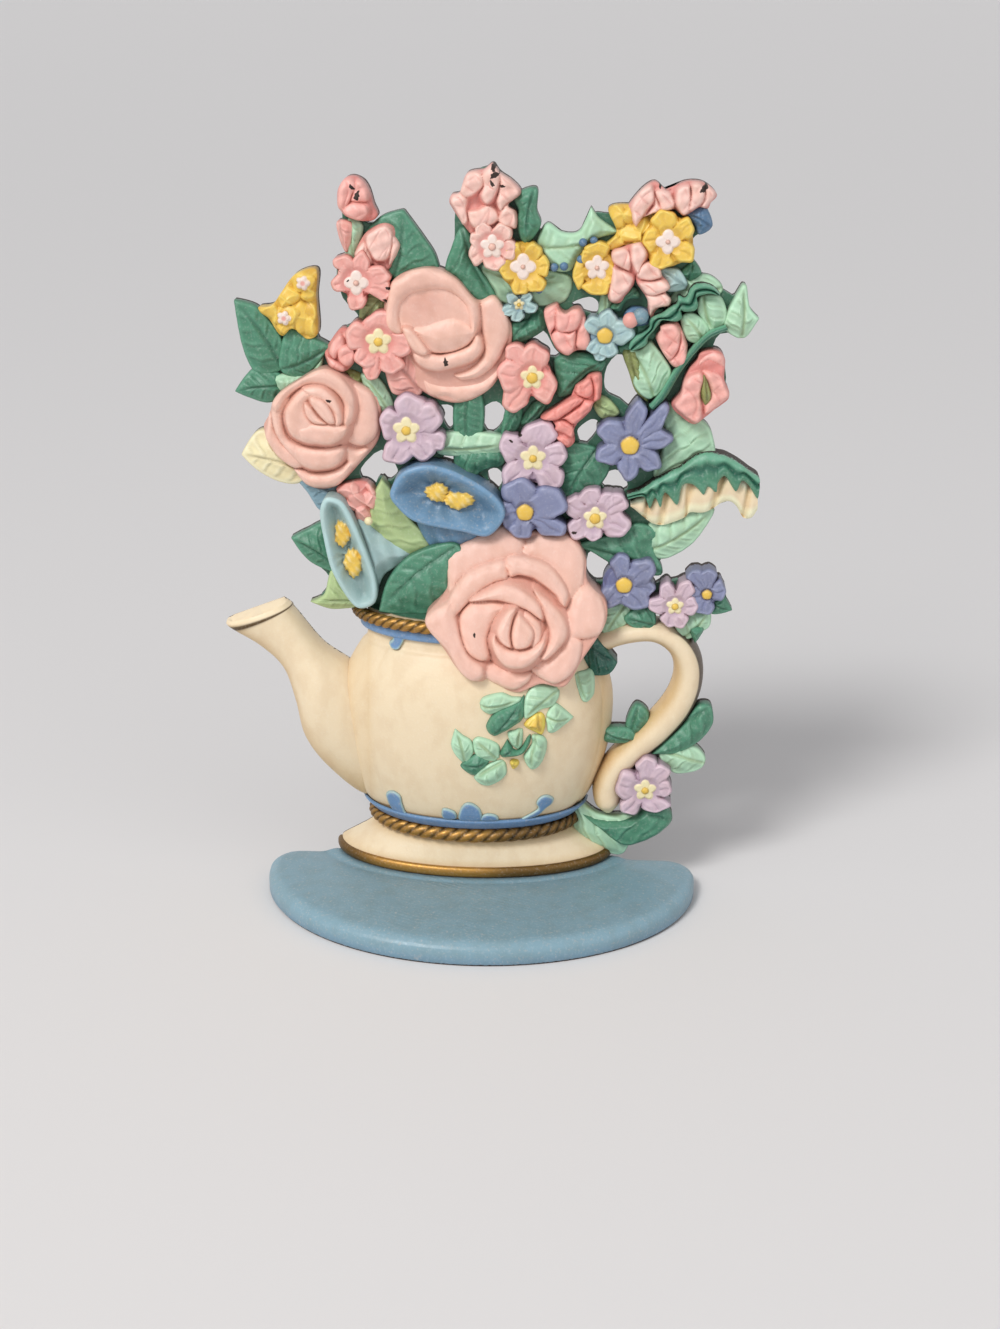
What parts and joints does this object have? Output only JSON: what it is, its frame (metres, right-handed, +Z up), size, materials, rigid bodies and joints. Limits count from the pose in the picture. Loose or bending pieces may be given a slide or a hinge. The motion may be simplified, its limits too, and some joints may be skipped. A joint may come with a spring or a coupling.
{
  "type": "doorstop",
  "caption": "Painted cast iron doorstop shaped as a teapot full of garden flowers on a half-oval base, flat at the back, that holds a door open by its weight.",
  "frame": {"origin": "middle of the base's underside, where the doorstop stands on the floor", "axes": "+Z up; -Y towards the viewer, the side that the flowers face, so the flat back faces +Y; +X to the right as seen from the front, towards the handle"},
  "size_m": [0.2004, 0.078, 0.2772],
  "materials": {
    "blue_enamel": "old brushed enamel with a soft gloss, worn at the edges",
    "coral_enamel": "old brushed enamel with a soft gloss, worn at the edges",
    "cream_enamel": "old brushed enamel with a soft gloss, worn at the edges",
    "gold_paint": "brushed gold paint with a dull gloss",
    "green_enamel": "old brushed enamel with a soft gloss, worn at the edges",
    "lavender_enamel": "old brushed enamel with a soft gloss, worn at the edges",
    "pale_blue_enamel": "old brushed enamel with a soft gloss, worn at the edges",
    "pale_yellow_enamel": "old brushed enamel with a soft gloss, worn at the edges",
    "periwinkle_enamel": "old brushed enamel with a soft gloss, worn at the edges",
    "pink_enamel": "old brushed enamel with a soft gloss, worn at the edges",
    "rose_enamel": "old brushed enamel with a soft gloss, worn at the edges",
    "yellow_enamel": "old brushed enamel with a soft gloss, worn at the edges"
  },
  "bodies": {
    "root": {"base_plate": "blue_enamel", "coral_bud": "coral_enamel", "cream_petal_right": "pale_yellow_enamel", "foliage": "green_enamel", "foot_gold_edge": "gold_paint", "handle": "cream_enamel", "lavender_flower_centre": "lavender_enamel", "lavender_flower_handle": "lavender_enamel", "lavender_flower_left": "lavender_enamel", "lavender_flower_low": "lavender_enamel", "lavender_flower_right": "lavender_enamel", "morning_glory": "blue_enamel", "neck_rope": "gold_paint", "neck_trim": "blue_enamel", "pale_blue_flower": "pale_blue_enamel", "pale_blue_flower_top": "pale_blue_enamel", "pale_morning_glory": "pale_blue_enamel", "periwinkle_daisy": "periwinkle_enamel", "periwinkle_flower_centre": "periwinkle_enamel", "periwinkle_flower_handle": "periwinkle_enamel", "periwinkle_flower_right": "periwinkle_enamel", "pink_blossom_right": "pink_enamel", "pink_blossom_top": "pink_enamel", "pink_blossom_upper_left": "pink_enamel", "pink_bud_left": "pink_enamel", "pink_bud_right": "pink_enamel", "pink_bud_spike": "pink_enamel", "pink_flower_centre": "pink_enamel", "pink_flower_left": "pink_enamel", "pink_flower_low_left": "pink_enamel", "pink_flower_side_left": "pink_enamel", "pink_flower_side_right": "pink_enamel", "pink_flower_top": "pink_enamel", "pink_flower_upper_left": "pink_enamel", "pink_rosebud": "pink_enamel", "pink_tulip": "pink_enamel", "pot_body": "cream_enamel", "pot_foot": "cream_enamel", "ribbon_leaf": "green_enamel", "rose_large": "rose_enamel", "rose_left": "rose_enamel", "rose_top": "rose_enamel", "serrated_leaf": "green_enamel", "spout": "cream_enamel", "stalk_right": "green_enamel", "waist_rope": "gold_paint", "waist_trim": "blue_enamel", "yellow_blossom_left": "yellow_enamel", "yellow_blossom_right": "yellow_enamel", "yellow_flower_far_right": "yellow_enamel", "yellow_flower_right": "yellow_enamel", "yellow_flower_top": "yellow_enamel"}
  },
  "joints": []
}
